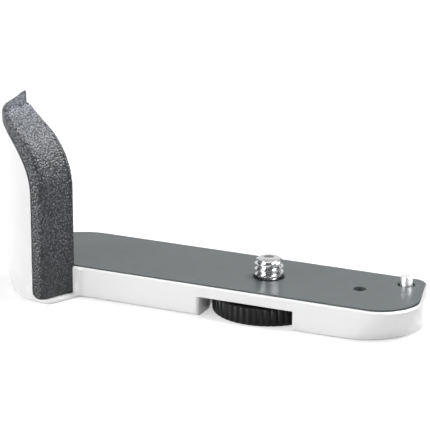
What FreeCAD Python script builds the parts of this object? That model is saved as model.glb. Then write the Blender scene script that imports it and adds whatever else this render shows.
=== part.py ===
"""Camera hand grip: a plate that screws under a camera, with an upright for the fingers.

Millimetres. The origin is on the camera screw's axis, on the seat where the camera stands.
+X runs along the plate to its free end, +Y towards the photographer, +Z up.
"""
import FreeCAD
import Part
import math
import os
from FreeCAD import Vector

# Plate
plate_front = 11.4
plate_back = 12.9
plate_thickness = 7.3
end_reach = 36.1
end_slant = 14.6
front_corner_radius = 9.3
front_corner_radius_below = 13.0
back_corner_radius = 3.6
outer_wall = 1.7
top_edge_round = 0.35
bottom_edge_round = 0.5

# Grip end of the plate and the upright's outer form
palm_reach = 60.3
palm_slant = 5.9
palm_tuck = 0.9
palm_end = -0.8
palm_radius = 9.0
palm_radius_below = 12.0
grip_back_radius = 13.8
nose_depth = 18.9
upright_height = 36.0
upright_wall = 1.6

# Finger side: a hollow arc in plan that is carried up, over and to the left
upright_width = 18.0
nose_width = 14.45
finger_root = palm_reach - upright_width
finger_nose = palm_reach - nose_width
finger_hollow_radius = 28.0
finger_nose_radius = 2.2
nose_round_share = 0.98
arc_overshoot = 0.3
shoulder_drop = 17.8
shoulder_start = upright_height - shoulder_drop
shoulder_radius = 18.6
shoulder_turn = 51.0

# White lip of the foot round the finger side
lip_root_step = 1.4
lip_nose_step = 1.45
lip_root = finger_root - lip_root_step
lip_nose = finger_nose - lip_nose_step
lip_nose_radius = 2.3
root_radius = 1.5

# Camera that stands on the seat
camera_corner_radius = 11.2
camera_rim = 0.9
camera_side = palm_reach - camera_rim

# Grip pad
pad_thickness = 1.2
pad_border = 11.55
pad_foot_rise = 1.0
pad_left = palm_reach - pad_border
pad_foot = plate_thickness - pad_foot_rise
pad_corner_radius = 1.6
pad_arc_drop = 19.0
pad_arc_start = upright_height - pad_arc_drop
pad_arc_radius = 18.85
pad_cap_depth = 3.4
pad_edge_below_seat = 0.35
pad_edge_round = 0.8
hairline = 0.1

# Lining on the camera side of the upright
lining_thickness = 1.0
lining_margin = 0.5
lining_end = -6.8
lining_screw_border = 11.7
lining_screw_x = palm_reach - lining_screw_border
low_screw_height = 7.5
high_screw_drop = 13.5
lining_screw_heights = (low_screw_height, upright_height - high_screw_drop)

# Seat sheet and frame plate
seat_thickness = 0.8
seat_end_flat = 0.25
seat_back_radius = plate_front + plate_back - camera_corner_radius - seat_end_flat
rim_width = 0.55
rim_drop = 0.3
frame_thickness = 1.0
frame_margin = 2.2

# Underside
web_depth = 2.84
cover_thickness = 1.2
cover_ledge = 1.1
cover_gap = 0.1
cover_corner_radius = 1.0
cover_palm_radius = 3.0
pocket_wall = 1.7
boss_radius = 2.3

# Thumbwheel and its notch
wheel_radius = 12.45
wheel_thickness = 3.9
wheel_rib_count = 52
wheel_rib_depth = 0.42
wheel_land_share = 0.5
wheel_clearance = 0.55
pocket_radius = wheel_radius + wheel_clearance
notch_left = 11.8
notch_right = 10.2
notch_corner_radius = 0.8
rear_notch_half = 7.0

# Camera screw, 1/4 inch
screw_radius = 3.175
screw_rise = 4.3
screw_chamfer = 0.65
screw_hole_gap = 0.3
collar_radius = 4.4
collar_thickness = 0.4
shank_radius = 2.75
shank_flat = 2.1
running_gap = 0.05
play = 0.05

# Screw bush; it and the tripod socket have flats against turning
flange_sides = 6
bush_radius = 4.7
bush_sides = 12
bush_flange_radius = 7.2
bush_flange_thickness = 0.5

# Friction washer and wheel screw
washer_radius = 6.2
washer_thickness = 0.4
wheel_screw_radius = 1.5
wheel_screw_head_radius = 4.0
wheel_screw_head_height = 0.85
wheel_screw_reach = 3.6
wheel_recess_radius = 5.4
wheel_recess_depth = 1.0

# Locating pin and locating hole
pin_from_end = 6.8
pin_from_back = 5.2
pin_x = end_reach - pin_from_end
pin_y = plate_back - pin_from_back
pin_radius = 1.35
pin_rise = 2.0
pin_chamfer = 0.3
pin_foot_radius = 1.65
pin_hole_radius = 1.95
locating_hole_from_end = 15.0
locating_hole_x = end_reach - locating_hole_from_end
locating_hole_y = 0.9
locating_hole_radius = 1.4

# Tripod socket
socket_from_pocket = 21.0
socket_x = -pocket_radius - socket_from_pocket
socket_bore_radius = 3.175
socket_bore_depth = 4.6
socket_radius = 5.2
socket_flange_radius = 7.2
socket_boss_radius = socket_radius + outer_wall
socket_boss_sides = 16
socket_flange_thickness = 0.6

# Sides of the plain round openings
opening_sides = 24

# Small screws: underside covers, frame plate and lining
small_screw_sides = 12
small_screw_radius = 1.0
small_head_radius = 1.9
small_head_height = 0.9
cover_screw_length = 2.6
frame_screw_length = 2.8
lining_screw_length = 3.0
screw_from_palm = 7.8
screw_from_front = 6.9
screw_from_back = 4.7
left_screw_from_pocket = 6.5
right_screw_from_pocket = 5.6
screw_from_end = 6.1
end_screw_from_front = 8.9
screw_places = (
    (-palm_reach + screw_from_palm, -plate_front + screw_from_front),
    (-pocket_radius - left_screw_from_pocket, plate_back - screw_from_back),
    (pocket_radius + right_screw_from_pocket, plate_back - screw_from_back),
    (end_reach - screw_from_end, -plate_front + end_screw_from_front),
)

# Levels, measured from the seat
rim_level = -rim_drop
frame_top = -seat_thickness
frame_bottom = frame_top - frame_thickness
web_level = -web_depth
base_level = -plate_thickness
cap_level = upright_height - pad_cap_depth
cover_top = base_level + cover_thickness
bush_top = frame_top - collar_thickness - 3 * play
wheel_top = web_level - 2 * play - washer_thickness
wheel_bottom = wheel_top - wheel_thickness


def rounded_wire(corners, level):
    """Closed wire at one level through corners (x, y, radius), each rounded by an arc."""
    edges = []
    starts = []
    ends = []
    middles = []
    count = len(corners)
    for index in range(count):
        x, y, radius = corners[index]
        corner = Vector(x, y, level)
        before = Vector(corners[index - 1][0], corners[index - 1][1], level) - corner
        after_x, after_y, _ = corners[(index + 1) % count]
        after = Vector(after_x, after_y, level) - corner
        before.normalize()
        after.normalize()
        half_angle = before.getAngle(after) / 2
        setback = radius / math.tan(half_angle)
        bisector = before + after
        bisector.normalize()
        centre = corner + bisector * (radius / math.sin(half_angle))
        starts.append(corner + before * setback)
        ends.append(corner + after * setback)
        middles.append(centre - bisector * radius)
    for index in range(count):
        following = (index + 1) % count
        if corners[index][2] > 0:
            edges.append(Part.Arc(starts[index], middles[index], ends[index]).toShape())
        edges.append(Part.LineSegment(ends[index], starts[following]).toShape())
    return Part.Wire(edges)


def prism(corners, low, high):
    """Upright solid of a rounded outline between two levels."""
    return Part.Face(rounded_wire(corners, low)).extrude(Vector(0, 0, high - low))


def box(x_low, x_high, y_low, y_high, z_low, z_high):
    """Box between three pairs of limits."""
    size = (x_high - x_low, y_high - y_low, z_high - z_low)
    return Part.makeBox(*size, Vector(x_low, y_low, z_low))


def disc(x, y, radius, low, high):
    """Upright cylinder between two levels."""
    return Part.makeCylinder(radius, high - low, Vector(x, y, low))


def ring(radius, level, sides):
    """Corners of a regular polygon about the Z axis, the first one repeated at the end."""
    corners = []
    for index in range(sides + 1):
        angle = 2 * math.pi * (index % sides) / sides
        corners.append(Vector(radius * math.cos(angle), radius * math.sin(angle), level))
    return corners


def tapered(sides, low_radius, low, high_radius, high):
    """Many-sided column about the Z axis, from one radius to another."""
    below = ring(low_radius, low, sides)
    above = ring(high_radius, high, sides)
    faces = [Part.Face(Part.makePolygon(below)), Part.Face(Part.makePolygon(above))]
    for index in range(sides):
        following = index + 1
        corners = [below[index], below[following], above[following], above[index], below[index]]
        faces.append(Part.Face(Part.makePolygon(corners)))
    return Part.Solid(Part.Shell(faces))


def post(x, y, radius, low, high, sides):
    """Upright many-sided column between two levels."""
    return placed(tapered(sides, radius, low, radius, high), x, y, 0)


def end_x(y, inset=0.0):
    """X of the slanted free end at a given Y."""
    slant = math.radians(end_slant)
    return end_reach - inset / math.cos(slant) - y * math.tan(slant)


def palm_x(y, inset=0.0):
    """X of the slanted palm side at a given Y."""
    slant = math.radians(palm_slant)
    return -palm_reach + inset / math.cos(slant) - y * math.tan(slant)


def body_outline(free_radius, grip_radius, tuck):
    """Corners of the moulded body from above, the palm side drawn in by a tuck."""
    return [
        (end_x(-plate_front), -plate_front, free_radius),
        (end_x(plate_back), plate_back, back_corner_radius),
        (palm_x(plate_back, tuck), plate_back, grip_back_radius),
        (palm_x(-nose_depth, tuck), -nose_depth, grip_radius),
        (-lip_nose, -nose_depth, lip_nose_radius),
        (-lip_root, -plate_front, root_radius),
    ]


def seat_outline(inset):
    """Corners of the recess under the camera, set in from the plate's faces."""
    front = -plate_front + inset
    back = plate_back - inset
    left = -camera_side + inset
    return [
        (end_x(front, inset), front, front_corner_radius - inset),
        (end_x(back, inset), back, max(back_corner_radius - inset, 1.0)),
        (left, back, seat_back_radius - inset),
        (left, front, camera_corner_radius - inset),
    ]


def camera_room(growth, low, high):
    """Space of the camera in front of which the upright stands."""
    corners = [
        (palm_reach, -plate_front - growth, 0),
        (palm_reach, 3 * plate_back, 0),
        (-camera_side - growth, 3 * plate_back, 0),
        (-camera_side - growth, -plate_front - growth, camera_corner_radius + growth),
    ]
    return prism(corners, low, high)


def finger_cutter(inset, low):
    """Everything to the right of the finger side, carried along the shoulder's path."""
    root = Vector(-finger_root, -plate_front, low)
    nose = Vector(-finger_nose, -nose_depth, low)
    chord = nose - root
    middle = (root + nose) * 0.5
    outward = Vector(-chord.y, chord.x, 0)
    outward.normalize()
    rise = math.sqrt(finger_hollow_radius ** 2 - (chord.Length / 2) ** 2)
    centre = middle + outward * rise
    radius = finger_hollow_radius + inset
    root_angle = math.atan2(root.y - centre.y, root.x - centre.x) - arc_overshoot
    nose_angle = math.atan2(nose.y - centre.y, nose.x - centre.x) % (2 * math.pi)

    def on_arc(angle):
        return centre + Vector(math.cos(angle), math.sin(angle), 0) * radius

    start = on_arc(root_angle)
    edges = []
    if inset > 0:
        end_angle = nose_angle + arc_overshoot
        arc_end = on_arc(end_angle)
        nose_end = arc_end
    else:
        round_y = -nose_depth + nose_round_share * finger_nose_radius
        reach = math.sqrt((radius + finger_nose_radius) ** 2 - (round_y - centre.y) ** 2)
        round_centre = Vector(centre.x - reach, round_y, low)
        toward = round_centre - centre
        end_angle = math.atan2(toward.y, toward.x) % (2 * math.pi)
        arc_end = on_arc(end_angle)
        nose_end = round_centre - Vector(0, finger_nose_radius, 0)
        outward = arc_end + nose_end - round_centre * 2
        outward.normalize()
        round_middle = round_centre + outward * finger_nose_radius
        edges.append(Part.Arc(arc_end, round_middle, nose_end).toShape())
    arc_middle = on_arc((root_angle + end_angle) / 2)
    edges.insert(0, Part.Arc(start, arc_middle, arc_end).toShape())
    far = palm_reach
    far_y = -2 * nose_depth
    corners = [
        nose_end,
        Vector(nose_end.x, far_y, low),
        Vector(far, far_y, low),
        Vector(far, start.y, low),
        start,
    ]
    for first, second in zip(corners, corners[1:]):
        edges.append(Part.LineSegment(first, second).toShape())
    profile = Part.Wire(edges)
    turn = math.radians(shoulder_turn)
    bend = Vector(start.x, start.y, shoulder_start)
    half = Vector(
        start.x - shoulder_radius * (1 - math.cos(turn / 2)),
        start.y,
        shoulder_start + shoulder_radius * math.sin(turn / 2),
    )
    finish = Vector(
        start.x - shoulder_radius * (1 - math.cos(turn)),
        start.y,
        shoulder_start + shoulder_radius * math.sin(turn),
    )
    tip = finish + Vector(-math.sin(turn), 0, math.cos(turn)) * shoulder_radius
    path = Part.Wire([
        Part.LineSegment(start, bend).toShape(),
        Part.Arc(bend, half, finish).toShape(),
        Part.LineSegment(finish, tip).toShape(),
    ])
    sweep = Part.BRepOffsetAPI.MakePipeShell(path)
    sweep.setTrihedronMode(Vector(0, 0, 0), Vector(0, 0, 1))
    sweep.add(profile)
    sweep.build()
    sweep.makeSolid()
    return Part.Solid(sweep.shape())


def upright_outline(inset):
    """Corners of the upright seen from above, before the finger side is cut."""
    front = -nose_depth + inset
    right = -finger_root + 2 * finger_nose_radius
    return [
        (right, front, 0),
        (right, palm_end, 0),
        (palm_x(palm_end, inset), palm_end, 0),
        (palm_x(front, inset), front, palm_radius - inset),
    ]


def upright_form(inset, low, high):
    """Outer form of the upright set in by a wall, in front of the camera, between two levels."""
    form = prism(upright_outline(inset), low, high)
    form = form.cut(finger_cutter(inset, low - 1.0))
    return form.cut(camera_room(0.0, low - 1.0, high + 1.0))


def pad_zone(growth):
    """Space of the grip pad: the finger side up to a line that arcs over to the left."""
    left = -pad_left - growth
    foot = -pad_foot - growth
    depth = -nose_depth - 2 * pad_corner_radius
    arc_x = -pad_left - pad_arc_radius
    arc_radius = pad_arc_radius - growth
    far_left = 2 * arc_x
    top = 2 * upright_height
    right = 0.0
    level = cap_level - growth
    top_angle = math.asin((level - pad_arc_start) / arc_radius)

    def on_arc(angle):
        x = arc_x + arc_radius * math.cos(angle)
        return Vector(x, depth, pad_arc_start + arc_radius * math.sin(angle))

    def at(x, z):
        return Vector(x, depth, z)

    bend = pad_corner_radius * (1 - math.sqrt(0.5))
    points = [
        at(left, foot + pad_corner_radius),
        on_arc(0.0),
        on_arc(top_angle),
        at(far_left, level),
        at(far_left, top),
        at(right, top),
        at(right, foot),
        at(left + pad_corner_radius, foot),
    ]
    edges = [
        Part.LineSegment(points[0], points[1]).toShape(),
        Part.Arc(points[1], on_arc(top_angle / 2), points[2]).toShape(),
    ]
    for start, end in zip(points[2:-1], points[3:]):
        edges.append(Part.LineSegment(start, end).toShape())
    corner = Part.Arc(points[7], at(left + bend, foot + bend), points[0])
    edges.append(corner.toShape())
    reach = Vector(0, palm_end + 1.0 - depth, 0)
    zone = Part.Face(Part.Wire(edges)).extrude(reach)
    seat_side = box(
        -pad_left - 1.0, 1.0, -plate_front, nose_depth, foot - 1.0, pad_arc_start
    )
    plate_side = box(
        -pad_left - 1.0, 1.0, -plate_front - pad_edge_below_seat, 0, foot - 1.0, rim_level
    )
    return zone.cut(seat_side).cut(plate_side)


def outer_block():
    """Plate and foot without recesses, its corners wider at the underside, edges rounded."""
    turn_level = rim_level - 2 * top_edge_round
    outline_above = body_outline(front_corner_radius, palm_radius, 0.0)
    outline_below = body_outline(front_corner_radius_below, palm_radius_below, palm_tuck)
    upper = prism(outline_above, turn_level, rim_level)
    wires = [rounded_wire(outline_above, turn_level), rounded_wire(outline_below, base_level)]
    lower = Part.makeLoft(wires, True, True)
    block = upper.fuse(lower)
    rim = []
    foot = []
    for edge in block.Edges:
        level = edge.BoundBox.ZMin
        if edge.BoundBox.ZLength > 0.01:
            continue
        if abs(level - rim_level) < 0.01:
            rim.append(edge)
        if abs(level - base_level) < 0.01:
            foot.append(edge)
    return block.makeChamfer(top_edge_round, rim).makeChamfer(bottom_edge_round, foot)


def left_cover_outline(inset):
    """Corners of the underside recess on the grip side of the wheel."""
    front = -plate_front + inset
    back = plate_back - inset
    right = -pocket_radius - pocket_wall - inset + outer_wall
    return [
        (right, front, cover_corner_radius),
        (right, back, cover_corner_radius),
        (palm_x(back, inset), back, grip_back_radius - inset),
        (palm_x(front, inset), front, cover_palm_radius),
    ]


def right_cover_outline(inset):
    """Corners of the underside recess on the free side of the wheel."""
    front = -plate_front + inset
    back = plate_back - inset
    left = pocket_radius + pocket_wall + inset - outer_wall
    return [
        (left, back, cover_corner_radius),
        (left, front, cover_corner_radius),
        (end_x(front, inset), front, front_corner_radius_below - inset),
        (end_x(back, inset), back, cover_corner_radius),
    ]


def small_screw(length):
    """Countersunk screw, head upwards at the origin."""
    neck = -small_head_height
    head = tapered(small_screw_sides, small_screw_radius, neck, small_head_radius, 0)
    shank = post(0, 0, small_screw_radius, -length, neck, small_screw_sides)
    return head.fuse(shank)


def placed(shape, x, y, z, axis=None, angle=0.0):
    """Copy of a shape, turned about the origin and moved to a place."""
    copy = shape.copy()
    if axis is not None:
        copy.rotate(Vector(0, 0, 0), axis, angle)
    copy.translate(Vector(x, y, z))
    return copy


def frame_screws():
    """Screws that hold the frame plate down in the tray."""
    screw = small_screw(frame_screw_length)
    return [placed(screw, x, y, frame_top) for x, y in screw_places]


def cover_screws():
    """Screws that hold the underside covers."""
    screw = small_screw(cover_screw_length)
    axis = Vector(1, 0, 0)
    return [placed(screw, x, y, base_level, axis, 180) for x, y in screw_places]


def lining_screws():
    """Screws that hold the lining from the camera side."""
    screw = small_screw(lining_screw_length)
    axis = Vector(1, 0, 0)
    screws = []
    for height in lining_screw_heights:
        screws.append(placed(screw, -lining_screw_x, -plate_front, height, axis, -90))
    return screws


def lining():
    """Cover on the camera side of the upright."""
    low = rim_drop
    high = cap_level - lining_margin
    form = upright_form(pad_thickness + lining_margin, low, high)
    sheet = form.common(camera_room(lining_thickness, low - 1.0, high + 1.0))
    return sheet.common(box(-palm_reach, 0, -nose_depth, lining_end, low, high))


def lining_with_holes():
    """Lining with its countersunk screw holes."""
    sheet = lining()
    for screw in lining_screws():
        sheet = sheet.cut(screw)
    return sheet


def upright_hollow():
    """Core-out of the upright behind the lining, less the bosses for its screws."""
    low = rim_drop + upright_wall
    high = cap_level - lining_margin - upright_wall
    hollow = upright_form(pad_thickness + upright_wall, low, high)
    hollow = hollow.cut(camera_room(lining_thickness, low - 1.0, high + 1.0))
    for height in lining_screw_heights:
        boss = post(0, 0, boss_radius, 0, nose_depth, small_screw_sides)
        hollow = hollow.cut(placed(boss, -lining_screw_x, 0, height, Vector(1, 0, 0), 90))
    return hollow


def body_shell():
    """White moulding: tray, foot and upright in one piece."""
    shell = outer_block()
    outer = upright_form(0.0, rim_level - top_edge_round, upright_height)
    core = upright_form(pad_thickness, -pad_foot - 1.0, cap_level)
    shell = shell.fuse(outer).cut(pad_zone(hairline).cut(core))
    shell = shell.cut(lining()).cut(upright_hollow())
    shell = shell.cut(prism(seat_outline(rim_width - cover_gap), frame_top, 1.0))
    shell = shell.cut(prism(seat_outline(frame_margin - cover_gap), frame_bottom, 0.0))
    for outline in (left_cover_outline, right_cover_outline):
        rebate = prism(outline(outer_wall), base_level - 1.0, cover_top)
        hollow = prism(outline(outer_wall + cover_ledge), cover_top - 1.0, web_level)
        shell = shell.cut(rebate.fuse(hollow))
    for x, y in screw_places:
        shell = shell.fuse(post(x, y, boss_radius, cover_top, web_level, small_screw_sides))
    boss = post(socket_x, 0, socket_boss_radius, cover_top, web_level, socket_boss_sides)
    shell = shell.fuse(boss)
    shell = shell.cut(disc(socket_x, 0, socket_radius, base_level - 1.0, 0))
    flange_level = frame_bottom - socket_flange_thickness
    flange = post(socket_x, 0, socket_flange_radius, flange_level, 0, flange_sides)
    shell = shell.cut(flange)
    shell = shell.cut(disc(0, 0, pocket_radius, base_level - 1.0, web_level))
    notch = [
        (-notch_left - 2 * notch_corner_radius, -nose_depth, 0),
        (notch_right + 2 * notch_corner_radius, -nose_depth, 0),
        (notch_right + 2 * notch_corner_radius, -plate_front, 0),
        (notch_right, -plate_front, notch_corner_radius),
        (notch_right, 0, 0),
        (-notch_left, 0, 0),
        (-notch_left, -plate_front, notch_corner_radius),
        (-notch_left - 2 * notch_corner_radius, -plate_front, 0),
    ]
    shell = shell.cut(prism(notch, base_level - 1.0, web_level))
    rear = box(-rear_notch_half, rear_notch_half, 0, nose_depth, base_level - 1.0, web_level)
    shell = shell.cut(rear)
    shell = shell.cut(post(0, 0, bush_radius, web_level, 0, bush_sides))
    flange_top = web_level + bush_flange_thickness
    shell = shell.cut(post(0, 0, bush_flange_radius, web_level - 1.0, flange_top, flange_sides))
    for screw in frame_screws() + cover_screws() + lining_screws():
        shell = shell.cut(screw)
    return shell


def grip_pad():
    """Grained pad of the finger side, which caps the top of the upright."""
    outer = upright_form(0.0, -pad_foot, upright_height)
    edge_level = upright_height - pad_edge_round
    tapered_top = Part.makeLoft([
        rounded_wire(upright_outline(0.0), edge_level),
        rounded_wire(upright_outline(pad_edge_round), upright_height),
    ], True, True)
    around = prism(upright_outline(-pad_edge_round), edge_level, upright_height)
    outer = outer.cut(around.cut(tapered_top))
    core = upright_form(pad_thickness, -pad_foot - 1.0, cap_level)
    return outer.common(pad_zone(0.0)).cut(core)


def seat_sheet():
    """Grey sheet on which the camera stands."""
    sheet = prism(seat_outline(rim_width), frame_top, 0.0)
    screw_hole = post(0, 0, screw_radius + screw_hole_gap, frame_top, 0, opening_sides)
    pin_hole = post(pin_x, pin_y, pin_hole_radius, frame_top, 0, opening_sides)
    sheet = sheet.cut(screw_hole).cut(pin_hole)
    hole = disc(locating_hole_x, locating_hole_y, locating_hole_radius, frame_top, 0)
    return sheet.cut(hole)


def frame_plate():
    """Steel plate under the seat sheet, with holes for what it carries."""
    plate = prism(seat_outline(frame_margin), frame_bottom, frame_top)
    plate = plate.cut(post(0, 0, bush_radius, frame_bottom, frame_top, bush_sides))
    plate = plate.cut(disc(pin_x, pin_y, pin_foot_radius, frame_bottom, frame_top))
    hole = disc(locating_hole_x, locating_hole_y, locating_hole_radius, frame_bottom, frame_top)
    plate = plate.cut(hole)
    for screw in frame_screws():
        plate = plate.cut(screw)
    return plate


def base_cover(outline):
    """Underside cover in its rebate."""
    cover = prism(outline(outer_wall + cover_gap), base_level, cover_top)
    hole_radius = socket_radius + cover_gap
    cover = cover.cut(post(socket_x, 0, hole_radius, base_level, cover_top, opening_sides))
    for screw in cover_screws():
        cover = cover.cut(screw)
    return cover


def screw_bush():
    """Flanged bush in which the camera screw turns."""
    flange_top = web_level + bush_flange_thickness
    bush = post(0, 0, bush_radius, web_level, bush_top, bush_sides)
    bush = bush.fuse(post(0, 0, bush_flange_radius, web_level, flange_top, flange_sides))
    bush = bush.cut(disc(0, 0, shank_radius + running_gap, web_level, bush_top))
    return bush.removeSplitter()


def turned(profile):
    """Solid turned about the Z axis from points (radius, level)."""
    points = [Vector(radius, 0, level) for radius, level in profile]
    edges = []
    for index, point in enumerate(points):
        following = points[(index + 1) % len(points)]
        edges.append(Part.LineSegment(point, following).toShape())
    return Part.Face(Part.Wire(edges)).revolve(Vector(0, 0, 0), Vector(0, 0, 1), 360)


def camera_screw():
    """Captive screw: thread above the seat, collar on the bush, shank down to the wheel."""
    top = screw_rise
    shank_end = wheel_bottom + wheel_recess_depth + play
    collar_top = bush_top + play + collar_thickness
    profile = [
        (0, shank_end),
        (shank_radius, shank_end),
        (shank_radius, bush_top + play),
        (collar_radius, bush_top + play),
        (collar_radius, collar_top),
        (shank_radius, collar_top),
        (shank_radius, 0),
        (screw_radius, 0),
        (screw_radius, top - screw_chamfer),
        (screw_radius - screw_chamfer, top),
        (0, top),
    ]
    screw = turned(profile)
    for side in (-1, 1):
        flat = box(
            min(side * shank_flat, side * palm_reach), max(side * shank_flat, side * palm_reach),
            -shank_radius, shank_radius, shank_end, wheel_top,
        )
        screw = screw.cut(flat)
    hole_top = wheel_bottom + wheel_recess_depth + wheel_screw_reach
    return screw.cut(post(0, 0, wheel_screw_radius, shank_end, hole_top, small_screw_sides))


def wheel_rim_wire():
    """Ribbed rim from above: flat ribs with a slanted groove between each pair."""
    step = 2 * math.pi / wheel_rib_count
    corners = (
        (0.0, wheel_radius),
        (wheel_land_share, wheel_radius),
        ((1 + wheel_land_share) / 2, wheel_radius - wheel_rib_depth),
    )
    points = []
    for index in range(wheel_rib_count):
        for share, radius in corners:
            angle = (index + share) * step
            points.append(Vector(radius * math.cos(angle), radius * math.sin(angle), wheel_bottom))
    points.append(points[0])
    return Part.makePolygon(points)


def thumbwheel():
    """Ribbed wheel below the web, driven by two flats on the camera screw."""
    wheel = Part.Face(wheel_rim_wire()).extrude(Vector(0, 0, wheel_thickness))
    recess_level = wheel_bottom + wheel_recess_depth
    recess = post(0, 0, wheel_recess_radius, wheel_bottom, recess_level, opening_sides)
    wheel = wheel.cut(recess)
    bore = disc(0, 0, shank_radius, recess_level, wheel_top)
    bore = bore.common(
        box(-shank_flat, shank_flat, -palm_reach, palm_reach, recess_level, wheel_top)
    )
    return wheel.cut(bore)


def friction_washer():
    """Washer between the wheel and the bush's flange."""
    low = wheel_top + play
    high = low + washer_thickness
    washer = post(0, 0, washer_radius, low, high, opening_sides)
    return washer.cut(disc(0, 0, shank_radius + play, low, high))


def wheel_screw():
    """Screw from below that clamps the wheel on the camera screw."""
    recess_level = wheel_bottom + wheel_recess_depth
    head_bottom = recess_level - wheel_screw_head_height
    sides = small_screw_sides
    head = post(0, 0, wheel_screw_head_radius, head_bottom, recess_level, sides)
    top = recess_level + wheel_screw_reach
    shank = post(0, 0, wheel_screw_radius, recess_level, top, sides)
    return head.fuse(shank)


def locating_pin():
    """Pin pressed into the frame plate, with a chamfered tip."""
    pin = turned([
        (0, frame_bottom),
        (pin_foot_radius, frame_bottom),
        (pin_foot_radius, 0),
        (pin_radius, 0),
        (pin_radius, pin_rise - pin_chamfer),
        (pin_radius - pin_chamfer, pin_rise),
        (0, pin_rise),
    ])
    return placed(pin, pin_x, pin_y, 0)


def tripod_socket():
    """Threaded bush in the underside, held by its flange under the frame plate."""
    flange_level = frame_bottom - socket_flange_thickness
    bush = disc(socket_x, 0, socket_radius, base_level, frame_bottom)
    flange = post(
        socket_x, 0, socket_flange_radius, flange_level, frame_bottom, flange_sides
    )
    bush = bush.fuse(flange)
    bore_top = base_level + socket_bore_depth
    bush = bush.cut(disc(socket_x, 0, socket_bore_radius, base_level, bore_top))
    return bush.removeSplitter()


def save(name, shape):
    """Write one piece as a STEP file."""
    solids = shape.Solids
    if len(solids) != 1:
        raise ValueError(f"{name} has {len(solids)} solids")
    solids[0].exportStep(f"parts/{name}.step")


def main():
    """Build every piece and write it."""
    os.makedirs("parts", exist_ok=True)
    save("body_shell", body_shell())
    save("grip_pad", grip_pad())
    save("grip_lining", lining_with_holes())
    save("seat_sheet", seat_sheet())
    save("frame_plate", frame_plate())
    save("base_cover_left", base_cover(left_cover_outline))
    save("base_cover_right", base_cover(right_cover_outline))
    save("screw_bush", screw_bush())
    save("camera_screw", camera_screw())
    save("thumbwheel", thumbwheel())
    save("friction_washer", friction_washer())
    save("wheel_screw", wheel_screw())
    save("locating_pin", locating_pin())
    save("tripod_socket", tripod_socket())
    groups = {
        "frame_screw": frame_screws(),
        "cover_screw": cover_screws(),
        "lining_screw": lining_screws(),
    }
    for name, screws in groups.items():
        for number, screw in enumerate(screws, 1):
            save(f"{name}_{number}", screw)


if __name__ == "__main__":
    main()
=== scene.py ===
"""Looks of a camera hand grip, modelled round its loaded frame.

Metres. The frame's origin is on the camera screw's axis, on the seat of the camera.
+X runs along the plate to its free end, +Y towards the photographer, +Z up.
"""
import math

import bmesh
import bpy
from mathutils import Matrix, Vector


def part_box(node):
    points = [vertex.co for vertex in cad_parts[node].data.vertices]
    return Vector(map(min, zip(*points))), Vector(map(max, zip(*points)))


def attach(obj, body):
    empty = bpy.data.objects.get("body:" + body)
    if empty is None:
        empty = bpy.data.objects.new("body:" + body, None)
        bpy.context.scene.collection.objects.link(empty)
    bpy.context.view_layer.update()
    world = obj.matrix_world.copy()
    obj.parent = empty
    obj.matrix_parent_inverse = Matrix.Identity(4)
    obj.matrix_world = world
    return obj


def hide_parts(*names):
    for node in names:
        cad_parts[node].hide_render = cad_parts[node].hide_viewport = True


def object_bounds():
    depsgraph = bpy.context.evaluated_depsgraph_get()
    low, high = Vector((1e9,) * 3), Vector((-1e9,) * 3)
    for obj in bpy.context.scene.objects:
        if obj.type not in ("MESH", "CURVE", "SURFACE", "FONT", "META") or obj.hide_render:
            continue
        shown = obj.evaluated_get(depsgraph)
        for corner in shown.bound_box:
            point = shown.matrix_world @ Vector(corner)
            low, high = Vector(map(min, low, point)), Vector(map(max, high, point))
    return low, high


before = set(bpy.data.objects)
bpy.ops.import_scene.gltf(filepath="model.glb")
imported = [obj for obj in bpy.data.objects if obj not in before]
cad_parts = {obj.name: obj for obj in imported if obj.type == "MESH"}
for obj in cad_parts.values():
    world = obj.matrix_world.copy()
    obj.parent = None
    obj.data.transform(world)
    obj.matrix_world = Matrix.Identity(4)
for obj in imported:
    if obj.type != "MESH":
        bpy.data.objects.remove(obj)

bl_info = {
    "name": "Camera hand grip",
    "version": (1, 0, 0),
    "blender": (4, 5, 0),
    "location": "View3D > Sidebar > Hand grip",
    "description": "Models and finishes the pieces of a camera hand grip",
    "category": "Object",
}

CAD_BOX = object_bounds()
MM = 0.001
GRIP = "grip_body"
WHEEL = "screw_wheel"

# Vertices nearer than TOUCHING are one; before a bevel, so are the ends of a SHORT_EDGE
TOUCHING = 0.001 * MM
SHORT_EDGE = 0.07 * MM
# Angles in degrees: faces that are joined as flat, and edges that are rounded or sharp
FLAT = 0.4
SHARP = 32.0

# Outside radius of a 1/4 inch thread, and the steps of one turn of its ridge
THREAD_RADIUS = 3.175 * MM
THREAD_STEPS = 64

# Axis in plan and radius of the camera's corner, round which the pad's inner rim runs
CAMERA_CORNER = (-48.12 * MM, -0.12 * MM)
CAMERA_CORNER_RADIUS = 11.31 * MM
# The pad's rim ends this far from the camera's corner, and is fainter over its last part
RIM_REACH = 0.7 * MM
RIM_FADE = 0.4 * MM
# Weight of the rim at the camera's corner itself, before it is held to 1
RIM_START = 1.75
# How far the rim is moved out before it is smoothed
RIM_GROWTH = 0.2 * MM
# The pad's cap begins this far below its top and this far from the camera's corner, and
# is fainter over the first part of each
CAP_DEPTH = 4.5 * MM
CAP_FADE = 3 * MM
CAP_INSET = 0.4 * MM
CAP_INSET_FADE = 1.5 * MM
# Top corner of the pad on the camera side, in plan, and how far its rounding reaches
PAD_CORNER = (-52.4 * MM, -10.9 * MM)
PAD_CORNER_REACH = 3.2 * MM
# How much lighter the grain is painted at the pad's top than the pad's own colour: a painted
# sheen where light from above falls
SHEEN_PAINT_LIFT = 5.5

# Ribs of the thumbwheel, and points of its outline for each
RIBS = 52
RIB_POINTS = 8
# Recess round the thumbwheel's screw
WHEEL_RECESS_RADIUS = 5.4 * MM
WHEEL_RECESS_DEPTH = 1.0 * MM

FLOOR_SIZE = 6.0
# The floor lies just under the object, so that the two never share a face
FLOOR_GAP = 0.02 * MM
# Light of the floor as the camera sees it near the object
FLOOR_GLOW = 0.5
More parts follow.
